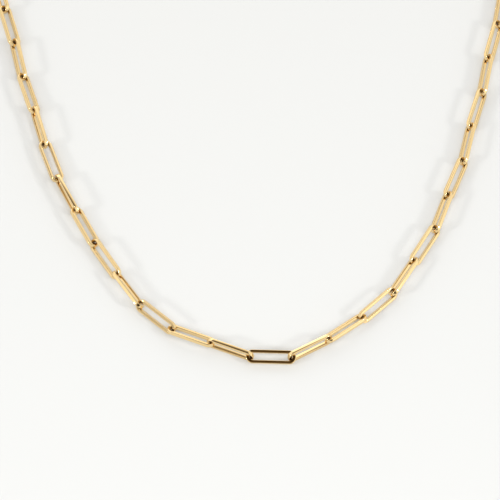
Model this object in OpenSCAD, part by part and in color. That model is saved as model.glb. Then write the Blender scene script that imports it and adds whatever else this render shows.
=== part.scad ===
// A paperclip chain necklace that lies flat as one closed loop.
// Sizes are in millimetres and angles in degrees. +Z is up, the chain rests
// on z = 0, the low middle of its front points to -Y and its clasp to +Y.

/* [Link] */
// Length of a link over its round ends
link_l = 12.5; // [11.6:0.1:14]
// Width of a link over its two long sides
link_w = 3.45; // [3.4:0.05:4]
// Thickness of the wire in the plane of the link
wire_t = 0.8; // [0.6:0.05:0.8]
// Depth of the wire, square to the plane of the link
wire_d = 0.95; // [0.7:0.05:0.95]
// Radius of the wire's four soft edges
wire_edge = 0.2; // [0.1:0.02:0.28]

/* [Lay] */
// Slack of two joined links along the chain, from inner end to inner end
play = 0.45; // [0.45:0.05:0.6]
// Direction in which the back of the loop passes its clasp
back_heading = 177; // [174:0.5:180]
// How early the back of the loop turns: 1 is evenly, more is at its shoulders
shoulder = 1.55; // [1.3:0.05:1.7]
// Lean of the links in the back of the loop, to one side and the other
back_lean = 48; // [45:1:52]
// Lean of the two links beside the clasp
end_lean = 30; // [25:1:40]

/* [Clasp and rings] */
// Wire of the ring between the clasp and the chain
clasp_ring_wire = 0.8; // [0.7:0.05:0.9]
// Hole of the ring between the clasp and the chain
clasp_ring_hole = 2.8; // [2.7:0.1:3]
// Wire of the ring that the clasp holds
end_ring_wire = 0.9; // [0.8:0.05:1]
// Hole of the ring that the clasp holds
end_ring_hole = 3.8; // [3.6:0.1:4.2]
// Thickness of the clasp's hook and of the gate opposite
clasp_bar = 1.1; // [1:0.1:1.3]
// Width of the space inside the hook
clasp_gap = 2.7; // [2.5:0.1:3]
// Thickness of the clasp's body, where its spring is
clasp_body = 1.9; // [1.7:0.1:2]
// Wire of the clasp's eye
eye_wire = 0.9; // [0.8:0.05:1]
// Hole of the clasp's eye
eye_hole = 1.8; // [1.7:0.1:2]

/* [Hidden] */
$fn = 48;
gold = [0.86, 0.68, 0.36];

// The front of the chain, one row a link, from the far left end down to the
// low middle, which has a line of its own, and up to the far right end. Heading
// is the way along the chain, from +X. Lean is the slope of the link across the
// chain: 0 lies flat, 90 stands on edge, and a positive lean has the side inside
// the loop higher.
// Out is how far the link has slid out of line, away from the loop's middle.
HEADING = 0;
LEAN = 1;
OUT = 2;
FRONT = [
    [-75, 52, 0], [-74, -30, 0], [-77, 57, 0], [-72, -38, 0], [-74, 70, 0],
    [-70, -12, 0], [-63, 82, 0], [-62, -30, 0], [-57, 52, 0], [-55, -55.5, -0.02],
    [-40.6, 51.7, -0.09], [-21.5, -27, -0.05], [-21, 85.8, -0.06],
    [-1.8, 14.3, 0.02],
    [28.5, 79.2, -0.2], [35.9, -34.2, -0.17], [43, 49.8, 0.02], [58, -50, 0],
    [59, 45, 0], [70, -50, 0], [68, 48, 0], [77, -53, 0], [73, 52, 0],
    [79, -53, 0], [75, 50, 0], [80, -48, 0]
];

// The back of the loop turns from each end of the front to the clasp.
back_links = 8;
turn = 360;
function ease(n) = 1 - pow(1 - n / (back_links + 1), shoulder);
function back_side(n) = n == back_links ? end_lean : back_lean;
right_end = FRONT[len(FRONT) - 1][HEADING];
left_end = FRONT[0][HEADING] + turn;
RIGHT = [for (n = [1:back_links])
    [right_end + (back_heading - right_end) * ease(n),
     (n % 2 == 0 ? -1 : 1) * back_side(n), 0]];
LEFT = [for (n = [back_links:-1:1])
    [left_end + (back_heading - left_end) * ease(n),
     (n % 2 == 0 ? 1 : -1) * back_side(n), 0]];
ROWS = concat(LEFT, FRONT, RIGHT);
links = len(ROWS);

// The joints between links lie a pitch apart, along each link's heading.
pitch = link_l - 2 * wire_t - play;
function ahead(a) = [cos(a), sin(a)];
JOINTS = [for (i = 0, p = [0, 0]; i <= links;
    p = i < links ? p + pitch * ahead(ROWS[i][HEADING]) : p, i = i + 1) p];

// The rings beside the clasp lean the other way from the links that they join.
ring_lean = 60;
function ring_r(hole, wire) = (hole + wire) / 2;
function ring_rest(hole, wire) = ring_r(hole, wire) * sin(ring_lean) + wire / 2;
clasp_ring_z = ring_rest(clasp_ring_hole, clasp_ring_wire);
end_ring_z = ring_rest(end_ring_hole, end_ring_wire);

// Each link's lowest point touches the ground. Two joined links meet at the
// height that the one standing higher needs, and the flatter one rides there.
core_w = link_w / 2 - wire_edge;
core_d = wire_d / 2 - wire_edge;
function touch(lean) = core_w * abs(sin(lean)) + core_d * cos(lean) + wire_edge;
TOUCH = [for (r = ROWS) touch(r[LEAN])];
JOINT_Z = [for (i = [0:links]) i == 0 ? clasp_ring_z : i == links ? end_ring_z
    : max(TOUCH[i - 1], TOUCH[i])];
function height(i) = (JOINT_Z[i] + JOINT_Z[i + 1]) / 2;
function climb(i) = atan2(JOINT_Z[i + 1] - JOINT_Z[i], pitch);

// Half the room that a link takes along X and along Y, and the loop's middle
function across(lean) = core_w * cos(lean) + core_d * abs(sin(lean)) + wire_edge;
function reach(a, lean) = (link_l - link_w) / 2 * abs(cos(a))
    + norm([link_w / 2 * cos(a), across(lean) * sin(a)]);
REACH = [for (r = ROWS)
    [reach(r[HEADING], r[LEAN]), reach(r[HEADING] - 90, r[LEAN])]];
MIDS = [for (i = [0:links - 1]) (JOINTS[i] + JOINTS[i + 1]) / 2
    + ROWS[i][OUT] * ahead(ROWS[i][HEADING] - 90)];
high = [for (axis = [0, 1]) max([for (i = [0:links - 1]) MIDS[i][axis] + REACH[i][axis]])];
low = [for (axis = [0, 1]) min([for (i = [0:links - 1]) MIDS[i][axis] - REACH[i][axis]])];
middle = (high + low) / 2;

// The clasp and its two rings bridge the ends of the chain. They lie along the
// line from the last link to the first, and the clasp is as long as they leave.
start = JOINTS[0] - middle;
finish = JOINTS[links] - middle;
bridge = start - finish;
bridge_angle = atan2(bridge.y, bridge.x);
// Slack is the room at a joint, more where the hook holds its ring.
slack = 0.15;
hook_slack = 0.9;
clasp_l = norm(bridge) + 3 * slack + hook_slack + clasp_bar + eye_wire
    - play - end_ring_hole - clasp_ring_hole;
end_ring_in = play / 2 - slack;
clasp_tip = end_ring_in + end_ring_hole - hook_slack - clasp_bar;
eye_in = clasp_tip + clasp_l - eye_wire;
end_ring_at = end_ring_in + end_ring_hole / 2;
clasp_ring_at = eye_in - slack + clasp_ring_hole / 2;
clasp_dip = atan2(end_ring_z - clasp_ring_z, clasp_l);
eye_x = clasp_l - eye_wire / 2 - ring_r(eye_hole, eye_wire);

function two(i) = str(i < 10 ? "0" : "", i);
LINK_NAMES = [for (i = [1:links]) str("link_", two(i))];

// Flat-sided wire with soft edges, its thickness along X
module wire_section() {
    square([wire_t - 2 * wire_edge, wire_d], center = true);
    square([wire_t, wire_d - 2 * wire_edge], center = true);
    for (x = [-1, 1], y = [-1, 1])
        translate([x * (wire_t / 2 - wire_edge), y * core_d])
            circle(wire_edge);
}

// One link, long along X and flat in the XY plane
module link() {
    bend = (link_w - wire_t) / 2;
    straight = link_l - link_w;
    for (side = [-1, 1]) {
        translate([-straight / 2, side * bend, 0])
            rotate([90, 0, 90])
                linear_extrude(straight) wire_section();
        translate([side * straight / 2, 0, 0])
            rotate([0, 0, -90 * side])
                rotate_extrude(angle = 180) translate([bend, 0]) wire_section();
    }
}

module placed_link(i) {
    mid = MIDS[i] - middle;
    color(gold)
        translate([mid.x, mid.y, height(i)])
            rotate([ROWS[i][LEAN], -climb(i), ROWS[i][HEADING]])
                link();
}

// A round ring of round wire, flat in the XY plane
module ring(hole, wire) {
    rotate_extrude() translate([ring_r(hole, wire), 0]) circle(d = wire);
}

// Puts a piece on the line between the chain's ends, leaning about that line
// and dipping along it
module on_bridge(at, z, lean, dip) {
    spot = finish + at * ahead(bridge_angle);
    translate([spot.x, spot.y, z]) rotate([lean, dip, bridge_angle]) children();
}

module clasp_ring() {
    color(gold)
        on_bridge(clasp_ring_at, clasp_ring_z, -ring_lean, 0)
            ring(clasp_ring_hole, clasp_ring_wire);
}

module end_ring() {
    color(gold)
        on_bridge(end_ring_at, end_ring_z, ring_lean, 0)
            ring(end_ring_hole, end_ring_wire);
}

// Two circles on the X axis, x1 and x2 from the origin, and the straight flanks
// between them, which start just inside both so that they meet them cleanly
flank_share = 0.98;
module taper(x1, r1, x2, r2) {
    tilt = asin((r1 - r2) / (x2 - x1));
    ends = [[x1, flank_share * r1, -1], [x2, flank_share * r2, -1],
        [x2, flank_share * r2, 1], [x1, flank_share * r1, 1]];
    translate([x1, 0]) circle(r1);
    translate([x2, 0]) circle(r2);
    polygon([for (e = ends) [e[0] + e[1] * sin(tilt), e[2] * e[1] * cos(tilt)]]);
}

// The clasp's hook and body: a drop turned about X with its tip at x = 0,
// sliced to the body's thickness, with a long hole for the rings
tip_r = clasp_bar + clasp_gap / 2;
tail_r = 0.45 * clasp_body;
tail_x = eye_x - eye_hole / 2 - tail_r;
slot_l = 0.5 * clasp_l;
slot_end_r = 0.3 * clasp_gap;
module clasp_drop() {
    difference() {
        intersection() {
            rotate([0, 90, 0])
                rotate_extrude()
                    intersection() {
                        rotate(90) taper(tip_r, tip_r, tail_x, tail_r);
                        translate([0, -clasp_l]) square([clasp_l, 3 * clasp_l]);
                    }
            cube([2 * clasp_l, 2 * clasp_l, clasp_body], center = true);
        }
        linear_extrude(2 * clasp_body, center = true)
            taper(tip_r, clasp_gap / 2, slot_l - slot_end_r, slot_end_r);
    }
}

// The thumb piece beside the hook, sunk a little into the drop's flank
thumb_d = 1.2;
thumb_h = 1.4;
thumb_sunk = 0.9;
module clasp_thumb() {
    translate([0.42 * clasp_l, tip_r + thumb_d / 2 - thumb_sunk, 0])
        cylinder(d = thumb_d, h = thumb_h, center = true);
}

module clasp() {
    color(gold)
        on_bridge(clasp_tip, end_ring_z, 0, clasp_dip) {
            clasp_drop();
            clasp_thumb();
            translate([eye_x, 0, 0]) ring(eye_hole, eye_wire);
        }
}

for (i = [0:links - 1])
    placed_link(i);
clasp_ring();
clasp();
end_ring();
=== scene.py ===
# %% [markdown]
# # A paperclip chain necklace on a white table
#
# The real necklace is a chain of long oval links, each bent from flat-sided
# wire, soldered shut, polished and plated with gold. Nearly all of its look is
# reflection, so this lesson spends its effort on two things: links whose faces
# and soft edges are true, and surroundings worth reflecting.
#
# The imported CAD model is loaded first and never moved. It says where every link
# lies and how big it is, and the pieces made here are fitted over it.

# %% Load the frame
import math

import bmesh
import bpy
import numpy as np
from mathutils import Matrix, Vector


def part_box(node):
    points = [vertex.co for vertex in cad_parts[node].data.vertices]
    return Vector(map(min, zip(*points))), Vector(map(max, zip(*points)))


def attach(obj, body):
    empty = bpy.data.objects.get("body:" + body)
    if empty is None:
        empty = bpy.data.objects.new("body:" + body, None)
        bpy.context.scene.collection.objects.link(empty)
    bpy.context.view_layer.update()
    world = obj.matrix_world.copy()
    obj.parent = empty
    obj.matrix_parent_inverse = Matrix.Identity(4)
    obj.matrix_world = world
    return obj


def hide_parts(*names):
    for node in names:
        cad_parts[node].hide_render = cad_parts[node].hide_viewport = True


MM = 0.001
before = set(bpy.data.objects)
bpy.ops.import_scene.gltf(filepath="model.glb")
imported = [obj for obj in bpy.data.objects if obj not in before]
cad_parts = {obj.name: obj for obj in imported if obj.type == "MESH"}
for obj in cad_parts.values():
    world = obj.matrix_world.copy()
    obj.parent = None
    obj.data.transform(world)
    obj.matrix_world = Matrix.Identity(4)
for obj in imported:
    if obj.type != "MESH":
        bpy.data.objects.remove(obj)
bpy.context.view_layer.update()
LINKS = sorted(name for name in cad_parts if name.startswith("link_"))
print(len(LINKS), "links and", sorted(set(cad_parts) - set(LINKS)))

# %% [markdown]
# ## Helpers
#
# Colours are written as the sRGB hex values that a painter or a colour picker
# would give, and turned to linear light here, because Blender's shaders add and
# multiply light and not screen values. One helper adds a node with its settings
# and its links, so that each tree below reads as a list of what it holds.


# %% Colour and node helpers
def linear(code):
    """An sRGB hex colour such as F0E0D0 as linear red, green, blue and alpha 1"""
    shown = [int(code[i:i + 2], 16) / 255 for i in (0, 2, 4)]
    light = [c / 12.92 if c <= 0.04045 else ((c + 0.055) / 1.055) ** 2.4 for c in shown]
    return (*light, 1.0)


def add_node(tree, kind, settings=None, **inputs):
    """Adds a node, sets its settings, and sets or links its inputs by name or index"""
    node = tree.nodes.new(kind)
    for key, value in (settings or {}).items():
        setattr(node, key, value)
    for key, value in inputs.items():
        socket = node.inputs[int(key[1:]) if key[0] == "_" else key.replace("_", " ")]
        if isinstance(value, bpy.types.NodeSocket):
            tree.links.new(value, socket)
        else:
            socket.default_value = value
    return node


print("helpers ready")

# %% [markdown]
# ## The camera
#
# The photo looks down on the table at 62 degrees, from the front, through a long
# lens. Angle, distance and lens come from fitting the places where the links
# join, so that the render lines up with the photo link for link.

# %% Camera
CAMERA_ELEVATION = 62.4
CAMERA_DISTANCE = 1000 * MM
CAMERA_LENS = 286.5
LOW_LINK = "link_22"
AIM_FROM_LOW_LINK = Vector((-5.19, 29.99)) * MM
AIM_HEIGHT = 1.6 * MM

low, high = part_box(LOW_LINK)
low_link_middle = (low + high) / 2
aim = Vector((*(low_link_middle.xy + AIM_FROM_LOW_LINK), AIM_HEIGHT))
up_angle = math.radians(CAMERA_ELEVATION)
towards_camera = Vector((0, -math.cos(up_angle), math.sin(up_angle)))

camera = bpy.data.objects.new("camera", bpy.data.cameras.new("camera"))
bpy.context.scene.collection.objects.link(camera)
bpy.context.scene.camera = camera
camera.data.lens = CAMERA_LENS
camera.data.clip_start = 10 * MM
camera.location = aim + towards_camera * CAMERA_DISTANCE
camera.rotation_euler = (math.radians(90 - CAMERA_ELEVATION), 0, 0)
bpy.context.scene.view_settings.view_transform = "Standard"
print("camera at", [round(x, 3) for x in camera.location])

# %% [markdown]
# ## The surroundings
#
# Polished gold shows the room. The photo was taken in white surroundings: light
# walls all round, a little brighter to the right and beyond the necklace and a
# little dimmer to the left, with a tan place about the camera and dark brown ones
# overhead and below the camera. Faces that look at the walls turn cream, and those
# that mirror a dark place, as the low link in the middle does, turn olive and
# brown. That contrast is what makes the links read as metal.
#
# Each patch is a disc round a direction. A direction is an angle round from
# straight ahead of the camera, to the right, and an elevation, so 180 and 62 is
# where the camera is. Moving a light means changing a number.

# %% Directions and patches of the room
def direction_of(around, elevation):
    """Unit vector at an angle round from straight ahead, to the right, and an elevation"""
    a, e = math.radians(around), math.radians(elevation)
    return Vector((math.sin(a) * math.cos(e), math.cos(a) * math.cos(e), math.sin(e)))


def maths(tree, operation, first, second=0.0):
    """The result of a maths node"""
    return add_node(tree, "ShaderNodeMath", {"operation": operation},
                    _0=first, _1=second).outputs[0]


NEARLY_ONE = 0.99999  # rounding could take a cosine past 1, where it has no angle


def patch_in(tree, looking, around, elevation, width, edge):
    """A soft disc: 1 in its middle, 0.37 at its width in degrees, nothing well past it"""
    dot = add_node(tree, "ShaderNodeVectorMath", {"operation": "DOT_PRODUCT"},
                   _0=looking, _1=direction_of(around, elevation)).outputs["Value"]
    angle = maths(tree, "ARCCOSINE", maths(tree, "MINIMUM", dot, NEARLY_ONE))
    off = maths(tree, "DIVIDE", angle, math.radians(width))
    return maths(tree, "EXPONENT", maths(tree, "MULTIPLY", maths(tree, "POWER", off, edge), -1.0))


print("straight ahead is", direction_of(0, 0)[:])

# %% [markdown]
# The room's brightness first goes by height. Then each patch adds to it or takes
# from it, and last the dark places are mixed in. They are brown and tan, and not
# black, which keeps the shaded gold warm.

# %% Room
WALL = linear("FFFEFC")
ROOM_BY_HEIGHT = [  # elevation in degrees, brightness there
    (0, 1.10), (30, 1.15), (55, 1.15), (90, 1.00),
]
OVERHEAD = 90  # elevation where the ramp of heights ends
BRIGHTEST = 2.0  # a ramp holds no more than 1, so it is scaled by this
PATCHES = [  # around, elevation, width, firmness of the edge, share of the brightness added
    (118, 10, 30, 2, 0.3), (-8, 24, 26, 2, 0.3), (-12, 36, 16, 2, 0.45),
    (58, 28, 24, 2, -0.2), (-122, 12, 14, 2, -0.45),
]
DARK_PLACES = [  # around, elevation, width, firmness of the edge, colour
    (180, 62, 20, 2, linear("8F7844")),
    (180, 22, 32, 5, linear("2E2008")),
    (-28, 78, 30, 6, linear("463008")),
]

world = bpy.data.worlds.new("white_room")
bpy.context.scene.world = world
world.use_nodes = True
room = world.node_tree
room.nodes.clear()
looking = add_node(room, "ShaderNodeTexCoord").outputs["Generated"]
height = add_node(room, "ShaderNodeSeparateXYZ", Vector=looking).outputs["Z"]
ramp = add_node(room, "ShaderNodeValToRGB",
                Fac=maths(room, "DIVIDE", maths(room, "ARCSINE", height), math.pi / 2))
stops = ramp.color_ramp.elements
while len(stops) < len(ROOM_BY_HEIGHT):
    stops.new(1.0)
for stop, (elevation, level) in zip(stops, ROOM_BY_HEIGHT):
    stop.position = elevation / OVERHEAD
    stop.color = (*[level / BRIGHTEST] * 3, 1)
brightness = maths(room, "MULTIPLY", ramp.outputs["Color"], BRIGHTEST)
for *place, share in PATCHES:
    change = maths(room, "MULTIPLY", patch_in(room, looking, *place), share)
    brightness = maths(room, "MULTIPLY", brightness, maths(room, "ADD", change, 1.0))
seen = WALL
for *place, colour in DARK_PLACES:
    seen = add_node(room, "ShaderNodeMix", {"data_type": "RGBA"},
                    _0=patch_in(room, looking, *place), _6=seen, _7=colour).outputs[2]
background = add_node(room, "ShaderNodeBackground", Color=seen, Strength=brightness)
add_node(room, "ShaderNodeOutputWorld", Surface=background.outputs["Background"])
print("room of", len(room.nodes), "nodes")

# %% [markdown]
# Three lights stand in that room. Two lamps, low at the left and the right of the
# necklace, throw the faint crossed shadows that lie on both sides of each strand,
# with a light patch in them where a link's hole faces the lamp. They are sun
# lamps, whose angle is the width of the lamp as the necklace sees it.
#
# A large soft light at the camera makes the near end of the table a little
# brighter. Its shadows hide behind the links, so the table stays light right
# beside the chain. It's kept out of reflections, where it would hide the room.

# %% Lights
LAMP_ANGLE = 7  # degrees
LAMP_DISTANCE = 1.0  # a sun lamp shines alike from any distance
LAMPS = [  # name, around, elevation, strength
    ("lamp_left", -112, 25, 0.7), ("lamp_right", 109, 28, 0.7),
]
SOFT_LIGHT = linear("F8FBFF")
SOFT_POWER = 3.6
SOFT_SIZE = 0.6
SOFT_DISTANCE = 0.8
SOFT_FROM = (180, 62)


def add_light(name, kind, around, elevation, distance, power, colour):
    """A light that looks at the middle of the picture from a direction"""
    data = bpy.data.lights.new(name, kind)
    data.energy = power
    data.color = colour[:3]
    light = bpy.data.objects.new(name, data)
    bpy.context.scene.collection.objects.link(light)
    away = direction_of(around, elevation)
    light.location = aim + away * distance
    light.rotation_mode = "QUATERNION"
    light.rotation_quaternion = (-away).to_track_quat("-Z", "Y")
    return light


for name, around, elevation, strength in LAMPS:
    lamp = add_light(name, "SUN", around, elevation, LAMP_DISTANCE, strength, WALL)
    lamp.data.angle = math.radians(LAMP_ANGLE)
soft_light = add_light("soft_light", "AREA", *SOFT_FROM, SOFT_DISTANCE, SOFT_POWER, SOFT_LIGHT)
soft_light.data.size = SOFT_SIZE
soft_light.visible_camera = False
soft_light.visible_glossy = False
print("3 lights")

# %% [markdown]
# ## The table
#
# A plain matt board that mirrors nothing, large enough that every view round the
# necklace still ends on it. It's a shade below white, and the lights take it to
# the photo's near white.

# %% Table
TABLE_RADIUS = 3.0
TABLE_CORNERS = 64
BOARD = linear("D7D8D7")
BOARD_ROUGHNESS = 0.8
BOARD_SHEEN = 0.2

board = bpy.data.materials.new("matt_light_board")
board.use_nodes = True
shader = board.node_tree.nodes["Principled BSDF"]
shader.inputs["Base Color"].default_value = BOARD
shader.inputs["Roughness"].default_value = BOARD_ROUGHNESS
shader.inputs["Specular IOR Level"].default_value = BOARD_SHEEN

corners = [(TABLE_RADIUS * math.cos(a), TABLE_RADIUS * math.sin(a), 0)
           for a in np.linspace(0, 2 * math.pi, TABLE_CORNERS, endpoint=False)]
table_mesh = bpy.data.meshes.new("table")
table_mesh.from_pydata(corners, [], [range(len(corners))])
table_mesh.materials.append(board)
table = bpy.data.objects.new("table", table_mesh)
bpy.context.scene.collection.objects.link(table)
print("table", 2 * TABLE_RADIUS, "m across")

# %% [markdown]
# ## The gold
#
# Brass wire plated with yellow gold and tumbled bright. The metal's colour is
# its reflection straight on; a metal keeps the default IOR. Tumbling leaves a
# faint unevenness, so the roughness wanders a little over each link. The cast
# clasp and its rings keep a little more haze than the wire.

# %% Gold plate
GOLD = linear("F4D69E")
POLISH = (0.06, 0.10)
CAST_POLISH = (0.12, 0.2)
HAZE_SIZE = 1.5 * MM
HAZE_DETAIL = 3.0
HAZE_SPREAD = (0.3, 0.7)  # where nearly all of the noise lies


def gold_material(name, polish):
    """Polished gold plate whose haze varies over a size in object space"""
    material = bpy.data.materials.new(name)
    material.use_nodes = True
    tree = material.node_tree
    place = add_node(tree, "ShaderNodeTexCoord")
    haze = add_node(tree, "ShaderNodeTexNoise", Vector=place.outputs["Object"],
                    Scale=1 / HAZE_SIZE, Detail=HAZE_DETAIL)
    rough = add_node(tree, "ShaderNodeMapRange", Value=haze.outputs["Fac"],
                     From_Min=HAZE_SPREAD[0], From_Max=HAZE_SPREAD[1],
                     To_Min=polish[0], To_Max=polish[1])
    gold = tree.nodes["Principled BSDF"]
    gold.inputs["Base Color"].default_value = GOLD
    gold.inputs["Metallic"].default_value = 1.0
    tree.links.new(rough.outputs["Result"], gold.inputs["Roughness"])
    return material


link_gold = gold_material("tumbled_gold_plate", POLISH)
clasp_gold = gold_material("cast_gold_plate", CAST_POLISH)
print(link_gold.name, "and", clasp_gold.name)

# %% [markdown]
# The inside of a bend, where the next link lies against it, gets painted shade:
# a dark colour that stands in for the joint's shadow and its dark reflections.
# Those small dark places set one link off from the next. The links carry an
# attribute that is 1 there and 0 elsewhere, made further down with their shape,
# and the colour follows it.

# %% Painted shade in the bends
BEND_SHADE_MARK = "painted_bend_shade"
# Painted shade: a dark colour mixed in where links meet, in place of their shadow.
PAINTED_BEND_SHADE = linear("6A4A1A")

plate = link_gold.node_tree
inside = add_node(plate, "ShaderNodeAttribute", {"attribute_name": BEND_SHADE_MARK})
shade = add_node(plate, "ShaderNodeMix", {"data_type": "RGBA"},
                 _0=inside.outputs["Fac"], _6=GOLD, _7=PAINTED_BEND_SHADE)
plate.links.new(shade.outputs[2], plate.nodes["Principled BSDF"].inputs["Base Color"])
print("insides of bends darker")

# %% [markdown]
# ## The links
#
# Each link could be modelled by hand, but they are all alike: one loop of wire.
# So a Geometry Nodes tree pulls a circle apart into the loop, sweeps the wire's
# section round it, and sets a copy on each seat. A seat is a point with a turn,
# read from the solid link that it covers.

# %% Seats of the links
# The CAD mesh of a link is a solid of even weight, so its middle and the axes of
# its spread say where it lies and how it is turned.
WIRE_THICK = 0.8 * MM
# A strand is only three pixels wide in the picture, so its soft edges are drawn
# 0.05 mm tighter than the solid's, which leaves the flat face room to show.
WIRE_EDGE = 0.15 * MM


def seat_of(node):
    """Middle of a CAD link, its three axes as columns, and its size along them"""
    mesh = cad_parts[node].data
    mesh.calc_loop_triangles()
    points = np.array([v.co for v in mesh.vertices], float)
    corners = points[np.array([t.vertices[:] for t in mesh.loop_triangles])]
    about = points.mean(axis=0)
    a, b, c = (corners[:, k] - about for k in range(3))
    volume = np.einsum("ij,ij->i", a, np.cross(b, c)) / 6
    total = volume.sum()
    middle = (volume[:, None] * (a + b + c)).sum(axis=0) / 4 / total
    spread = sum(np.einsum("i,ij,ik->jk", volume, p, q) * (2 if same else 1)
                 for p, q, same in [(a, a, 1), (b, b, 1), (c, c, 1), (a, b, 0), (b, a, 0),
                                    (a, c, 0), (c, a, 0), (b, c, 0), (c, b, 0)]) / 20
    spread = spread / total - np.outer(middle, middle)
    axes = np.linalg.eigh(spread)[1][:, ::-1]
    if np.linalg.det(axes) < 0:
        axes[:, 2] *= -1
    if axes[2, 2] < 0:
        axes[:, 1:] *= -1
    local = (points - about - middle) @ axes
    return about + middle, axes, local.max(axis=0) - local.min(axis=0)


seats = [seat_of(name) for name in LINKS]
link_size = np.mean([size for _, _, size in seats], axis=0)
print("a link measures", np.round(link_size / MM, 3), "mm")

# %% [markdown]
# The seats go into a mesh of bare points, with the turn as a named attribute. Two
# helpers then hold what the trees of links and rings share: the sockets at their
# start, and at their end the copies on the seats, made real, smoothed and coated.

# %% Seat points
def seat_points(name, seats):
    """A mesh of bare points at the seats, each with its turn as a quaternion"""
    mesh = bpy.data.meshes.new(name)
    mesh.from_pydata([tuple(middle) for middle, _, _ in seats], [], [])
    turn = mesh.attributes.new("turn", "QUATERNION", "POINT")
    for item, (_, axes, _) in zip(turn.data, seats):
        item.value = Matrix(axes.tolist()).to_quaternion()
    print(name, "holds", len(mesh.vertices))
    return mesh


# %% A node tree that works on seats
def tree_on_seats(name, sizes):
    """A node tree with seat points and named sizes as inputs, and the sockets that give them"""
    tree = bpy.data.node_groups.new(name, "GeometryNodeTree")
    tree.interface.new_socket(name="Geometry", in_out="OUTPUT", socket_type="NodeSocketGeometry")
    tree.interface.new_socket(name="Seats", in_out="INPUT", socket_type="NodeSocketGeometry")
    for label in sizes:
        tree.interface.new_socket(name=label, in_out="INPUT", socket_type="NodeSocketFloat")
    return tree, add_node(tree, "NodeGroupInput").outputs


def set_on_seats(tree, given, shape, sharp_from, coat):
    """Ends a tree: the shape on every seat, real and smooth, its edges sharp past an angle"""
    turns = add_node(tree, "GeometryNodeInputNamedAttribute", {"data_type": "QUATERNION"},
                     Name="turn")
    copies = add_node(tree, "GeometryNodeInstanceOnPoints", Points=given["Seats"],
                      Instance=shape, Rotation=turns.outputs["Attribute"])
    solid = add_node(tree, "GeometryNodeRealizeInstances", Geometry=copies.outputs["Instances"])
    smooth = add_node(tree, "GeometryNodeSetShadeSmooth", {"domain": "FACE"},
                      Geometry=solid.outputs["Geometry"])
    fold = add_node(tree, "GeometryNodeInputMeshEdgeAngle").outputs["Unsigned Angle"]
    folded = add_node(tree, "FunctionNodeCompare", {"operation": "GREATER_THAN"},
                      A=fold, B=sharp_from)
    crisp = add_node(tree, "GeometryNodeSetShadeSmooth", {"domain": "EDGE"},
                     Geometry=smooth.outputs["Geometry"],
                     Selection=folded.outputs["Result"], Shade_Smooth=False)
    coated = add_node(tree, "GeometryNodeSetMaterial", Geometry=crisp.outputs["Geometry"],
                      Material=coat)
    add_node(tree, "NodeGroupOutput", Geometry=coated.outputs["Geometry"])


SHARP_ANGLE = math.radians(60)
print("edges folded past", round(math.degrees(SHARP_ANGLE)), "degrees stay sharp")

# %% [markdown]
# A circle whose right half is moved right and left half left is the loop of a
# link: two half rounds with straight sides between. The circle is turned by half
# a step first, so that no point lies on the line where it parts.

# %% Node tree of the loops
ROUND_STEPS = 44
EDGE_STEPS = 4
LOOP_SIZES = {"Length": float(link_size[0]), "Width": float(link_size[1]),
              "Wire thickness": WIRE_THICK, "Wire depth": float(link_size[2]),
              "Edge radius": WIRE_EDGE}

loop_tree, given = tree_on_seats("loops_on_seats", LOOP_SIZES)
bend = maths(loop_tree, "MULTIPLY",
             maths(loop_tree, "SUBTRACT", given["Width"], given["Wire thickness"]), 0.5)
pull = maths(loop_tree, "MULTIPLY",
             maths(loop_tree, "SUBTRACT", given["Length"], given["Width"]), 0.5)
circle = add_node(loop_tree, "GeometryNodeCurvePrimitiveCircle", Resolution=ROUND_STEPS,
                  Radius=bend)
half_step = add_node(loop_tree, "GeometryNodeTransform", Geometry=circle.outputs["Curve"],
                     Rotation=(0, 0, math.pi / ROUND_STEPS))
where = add_node(loop_tree, "GeometryNodeInputPosition")
apart = add_node(loop_tree, "ShaderNodeSeparateXYZ", Vector=where.outputs["Position"])
side = maths(loop_tree, "SIGN", apart.outputs["X"])
shift = add_node(loop_tree, "ShaderNodeCombineXYZ", X=maths(loop_tree, "MULTIPLY", side, pull))
loop = add_node(loop_tree, "GeometryNodeSetPosition", Geometry=half_step.outputs["Geometry"],
                Offset=shift.outputs["Vector"])
flat_loop = add_node(loop_tree, "GeometryNodeSetCurveNormal", {"mode": "Z_UP"},
                     Curve=loop.outputs["Geometry"])
section = add_node(loop_tree, "GeometryNodeCurvePrimitiveQuadrilateral",
                   Width=given["Wire thickness"], Height=given["Wire depth"])
soft_section = add_node(loop_tree, "GeometryNodeFilletCurve", {"mode": "POLY"},
                        Curve=section.outputs["Curve"], Count=EDGE_STEPS,
                        Radius=given["Edge radius"])
wire = add_node(loop_tree, "GeometryNodeCurveToMesh", Curve=flat_loop.outputs["Curve"],
                Profile_Curve=soft_section.outputs["Curve"])
print("wire swept round the loop")

# %% [markdown]
# The same tree marks where the shade is painted. Past the straight sides, a
# point's distance from the middle of its bend says how far inwards on the wire it
# lies. The mark grows from nothing where the bend begins, so it has no edge.

# %% Mark the painted shade in the bends
FULL_FROM = 0.4  # share of the bend's radius past which the mark is full

on_wire = add_node(loop_tree, "GeometryNodeInputPosition")
place = add_node(loop_tree, "ShaderNodeSeparateXYZ", Vector=on_wire.outputs["Position"]).outputs
past = maths(loop_tree, "MAXIMUM",
             maths(loop_tree, "SUBTRACT", maths(loop_tree, "ABSOLUTE", place["X"]), pull), 0.0)
from_middle = maths(loop_tree, "SQRT",
                    maths(loop_tree, "ADD", maths(loop_tree, "POWER", past, 2.0),
                          maths(loop_tree, "MULTIPLY", place["Y"], place["Y"])))
inwards = maths(loop_tree, "DIVIDE", maths(loop_tree, "SUBTRACT", bend, from_middle),
                maths(loop_tree, "MULTIPLY", given["Wire thickness"], 0.5))
in_round = maths(loop_tree, "DIVIDE", past, maths(loop_tree, "MULTIPLY", bend, FULL_FROM))
both = maths(loop_tree, "MULTIPLY", maths(loop_tree, "MINIMUM", in_round, 1.0),
             maths(loop_tree, "MAXIMUM", inwards, 0.0))
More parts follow.
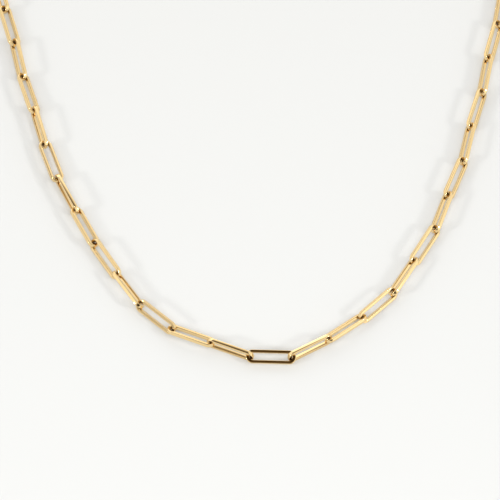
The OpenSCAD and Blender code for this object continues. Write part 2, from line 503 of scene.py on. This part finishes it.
# This mark places the painted shade on the insides of the bends.
marked = add_node(loop_tree, "GeometryNodeStoreNamedAttribute",
                  {"data_type": "FLOAT", "domain": "POINT"}, Geometry=wire.outputs["Mesh"],
                  Name=BEND_SHADE_MARK, Value=both)
set_on_seats(loop_tree, given, marked.outputs["Geometry"], SHARP_ANGLE, link_gold)
print(len(loop_tree.nodes), "nodes")

# %% [markdown]
# A maker object holds the seat points and runs the tree once. Its result is kept
# as a plain mesh, and the maker goes away.

# %% Make the chain
def made_by(tree, name, mesh, sizes):
    """A plain mesh object, at the origin, of what a node tree makes from a mesh"""
    maker = bpy.data.objects.new(name + "_maker", mesh)
    bpy.context.scene.collection.objects.link(maker)
    nodes = maker.modifiers.new("nodes", "NODES")
    nodes.node_group = tree
    for socket in tree.interface.items_tree:
        if socket.name in sizes:
            nodes[socket.identifier] = sizes[socket.name]
    evaluated = maker.evaluated_get(bpy.context.evaluated_depsgraph_get())
    made = bpy.data.objects.new(name, bpy.data.meshes.new_from_object(evaluated))
    bpy.data.objects.remove(maker)
    bpy.context.scene.collection.objects.link(made)
    made.data.calc_loop_triangles()
    print(name, "has", len(made.data.loop_triangles), "triangles")
    return made


chain = made_by(loop_tree, "chain_links", seat_points("link_seats", seats), LOOP_SIZES)
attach(chain, "root")
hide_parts(*LINKS)

# %% [markdown]
# ## The two jump rings
#
# The clasp hangs between two jump rings. Such a ring is wound from round wire,
# cut, and twisted shut, so a hair of a slit is left where its ends meet. An arc
# that stops just short of a full turn, swept with a round section and capped, is
# just that, and one node tree makes both rings from their own sizes.

# %% Node tree of a jump ring
RING_STEPS = 120
RING_WIRE_STEPS = 20
RING_SLIT = 0.07 * MM
RING_SIZES = ("Ring radius", "Wire radius", "Slit")

ring_tree, given = tree_on_seats("jump_rings_on_seats", RING_SIZES)
slit_angle = maths(ring_tree, "DIVIDE", given["Slit"], given["Ring radius"])
arc = add_node(ring_tree, "GeometryNodeCurveArc", {"mode": "RADIUS"}, Resolution=RING_STEPS,
               Radius=given["Ring radius"],
               Start_Angle=maths(ring_tree, "MULTIPLY", slit_angle, 0.5),
               Sweep_Angle=maths(ring_tree, "SUBTRACT", 2 * math.pi, slit_angle))
flat_arc = add_node(ring_tree, "GeometryNodeSetCurveNormal", {"mode": "Z_UP"},
                    Curve=arc.outputs["Curve"])
round_section = add_node(ring_tree, "GeometryNodeCurvePrimitiveCircle",
                         Resolution=RING_WIRE_STEPS, Radius=given["Wire radius"])
ring_wire = add_node(ring_tree, "GeometryNodeCurveToMesh", Curve=flat_arc.outputs["Curve"],
                     Profile_Curve=round_section.outputs["Curve"], Fill_Caps=True)
set_on_seats(ring_tree, given, ring_wire.outputs["Mesh"], SHARP_ANGLE, clasp_gold)
print(len(ring_tree.nodes), "nodes")

# %% [markdown]
# A ring's seat gives its two sizes: across, and through the wire. The chain pulls
# a ring at its two ends, so the slit is turned to the top, clear of both.

# %% Make the rings
for node, name in (("clasp_ring", "clasp_jump_ring"), ("end_ring", "end_jump_ring")):
    middle, axes, size = seat_of(node)
    through = Vector(axes[:, 2])
    top = (Vector((0, 0, 1)) - through * through.z).normalized()
    turned = np.array([top, through.cross(top), through]).T
    ring_sizes = dict(zip(RING_SIZES, ((size[0] - size[2]) / 2, size[2] / 2, RING_SLIT)))
    seat = seat_points(name + "_seat", [(middle, turned, size)])
    ring = made_by(ring_tree, name, seat, ring_sizes)
    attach(ring, "root")
    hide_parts(node)

# %% [markdown]
# ## The clasp
#
# A lobster clasp is cast with its eye in one piece and tumbled until every edge
# is soft. The photo doesn't show it, so it stays plain. The CAD solid has the
# shape but knife edges, and bevels on its long thin triangles would break. So a
# copy is merged, remeshed to fine even squares and smoothed, as tumbling does.

# %% Soften the clasp
CLASP_GRAIN = 0.07 * MM
TUMBLING = 12
RUBBED_OFF = 0.5  # share of each bump that one round of tumbling takes
SAME_POINT = MM / 1000

solid = bmesh.new()
solid.from_mesh(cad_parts["clasp"].data)
bmesh.ops.remove_doubles(solid, verts=solid.verts, dist=SAME_POINT)
rough_mesh = bpy.data.meshes.new("clasp_solid")
solid.to_mesh(rough_mesh)
solid.free()
tumbled = bpy.data.objects.new("clasp_tumbled", rough_mesh)
bpy.context.scene.collection.objects.link(tumbled)
remesh = tumbled.modifiers.new("remesh", "REMESH")
remesh.mode = "VOXEL"
remesh.voxel_size = CLASP_GRAIN
soften = tumbled.modifiers.new("soften", "SMOOTH")
soften.factor = RUBBED_OFF
soften.iterations = TUMBLING
evaluated = tumbled.evaluated_get(bpy.context.evaluated_depsgraph_get())
clasp = bpy.data.objects.new("lobster_clasp", bpy.data.meshes.new_from_object(evaluated))
bpy.data.objects.remove(tumbled)
bpy.context.scene.collection.objects.link(clasp)
print(len(clasp.data.vertices), "points after tumbling")

# %% [markdown]
# Its gate is a lever on a pin, pushed back with a nub. Two fine parting lines
# and the round head of the pin tell the eye where the gate is. They are shallow,
# so the points of the even mesh are moved along their normals to make them.

# %% Gate lines and pin
HOOK_RADIUS = 2.45 * MM
NOSE_ANGLE = math.radians(115)
HINGE_AT = 0.57
LINE_WIDTH = 0.09 * MM
LINE_DEPTH = 0.13 * MM
PIN_RADIUS = 0.42 * MM
PIN_HEIGHT = 0.09 * MM
PIN_AT = (0.515, 1.45 * MM)
EYE_FROM = 0.93  # share of the clasp's length past which only its eye lies
FLAT = 0.8  # how squarely a point's normal meets the clasp's face to be on it

middle, axes, size = seat_of("clasp")
eye_side = np.sign((seat_of("clasp_ring")[0] - middle) @ axes[:, 0])
lengthwise, upwards = axes[:, 0] * eye_side, axes[:, 2]
count = len(clasp.data.vertices)
points, normals = np.empty(3 * count), np.empty(3 * count)
clasp.data.vertices.foreach_get("co", points)
clasp.data.vertices.foreach_get("normal", normals)
points, normals = points.reshape(-1, 3), normals.reshape(-1, 3)
crosswise = np.cross(upwards, lengthwise)
crossed = (points - middle) @ crosswise
nub_side = 1 if crossed.max() > -crossed.min() else -1
crosswise *= nub_side
along = (points - middle) @ lengthwise
along -= along.min()
aside = (points - middle) @ crosswise
aside -= aside[along > EYE_FROM * size[0]].mean()
length = along.max()


def line_at(distance, gate_side):
    """Depth of a parting line at each point, from its distance to the line"""
    return np.where(gate_side, np.exp(-(distance / LINE_WIDTH) ** 2), 0) * LINE_DEPTH


from_hook = np.arctan2(aside, along - HOOK_RADIUS)
nose = line_at((from_hook - NOSE_ANGLE) * HOOK_RADIUS, aside > 0)
hinge = line_at(along - HINGE_AT * length, aside > 0)
flat_side = np.abs(normals @ upwards) > FLAT
pin_place = np.hypot(along - PIN_AT[0] * length, aside - PIN_AT[1])
pin = np.clip((PIN_RADIUS - pin_place) / CLASP_GRAIN + 0.5, 0, 1) * flat_side * PIN_HEIGHT
points += normals * (pin - np.maximum(nose, hinge))[:, None]
clasp.data.vertices.foreach_set("co", points.ravel())
clasp.data.shade_smooth()
clasp.data.materials.clear()
clasp.data.materials.append(clasp_gold)
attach(clasp, "root")
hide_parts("clasp")
print("clasp", round(length / MM, 2), "mm long, nub to side", nub_side)
